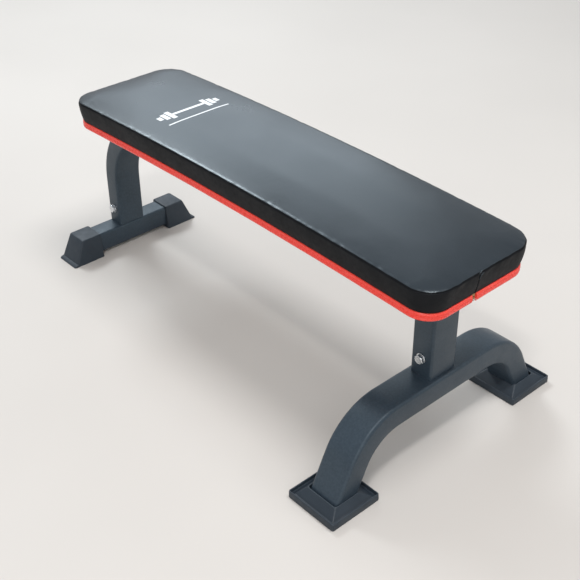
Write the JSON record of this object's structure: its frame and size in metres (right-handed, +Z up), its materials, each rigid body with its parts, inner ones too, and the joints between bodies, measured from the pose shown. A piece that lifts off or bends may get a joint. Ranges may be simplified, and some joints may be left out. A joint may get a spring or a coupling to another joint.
{
  "type": "flat weight bench",
  "caption": "Flat weight bench: long padded board with red edge trim on a bent beam, arched front leg with square feet, low rear base with end caps.",
  "frame": {"origin": "centre of the bounding box on the floor", "axes": "+X along the bench towards the arched leg, +Y across it, +Z up"},
  "size_m": [1.144, 0.622, 0.45],
  "materials": {
    "black_vinyl": "satin, fine leather grain",
    "seat_foam": "open foam",
    "plywood": "raw",
    "red_edge_trim": "semi-gloss, fine ribs along its length",
    "powder_coat": "satin charcoal powder coat",
    "black_plastic": "matte moulded",
    "zinc_steel": "bright zinc plate"
  },
  "bodies": {
    "root": {"vinyl_cover": "black_vinyl", "foam_core": "seat_foam", "base_board": "plywood", "edge_trim": "red_edge_trim", "edge_trim_staple": "zinc_steel", "rear_mount_plate": "powder_coat", "front_mount_plate": "powder_coat", "pad_bolt_rear_left": "zinc_steel", "pad_washer_rear_left": "zinc_steel", "tee_nut_rear_left": "zinc_steel", "pad_bolt_rear_right": "zinc_steel", "pad_washer_rear_right": "zinc_steel", "tee_nut_rear_right": "zinc_steel", "pad_bolt_front_left": "zinc_steel", "pad_washer_front_left": "zinc_steel", "tee_nut_front_left": "zinc_steel", "pad_bolt_front_right": "zinc_steel", "pad_washer_front_right": "zinc_steel", "tee_nut_front_right": "zinc_steel", "rear_leg": "powder_coat", "main_beam": "powder_coat", "beam_end_plug": "black_plastic", "rear_base_tube": "powder_coat", "rear_foot_cap_left": "black_plastic", "rear_foot_cap_right": "black_plastic", "front_post": "powder_coat", "arched_leg": "powder_coat", "arch_foot_left": "black_plastic", "arch_foot_right": "black_plastic", "front_spigot": "powder_coat", "rear_spigot": "powder_coat", "front_hex_bolt": "zinc_steel", "front_bolt_washer": "zinc_steel", "front_nut_washer": "zinc_steel", "front_lock_nut": "zinc_steel", "rear_hex_bolt": "zinc_steel", "rear_bolt_washer": "zinc_steel", "rear_nut_washer": "zinc_steel", "rear_lock_nut": "zinc_steel"}
  },
  "joints": []
}
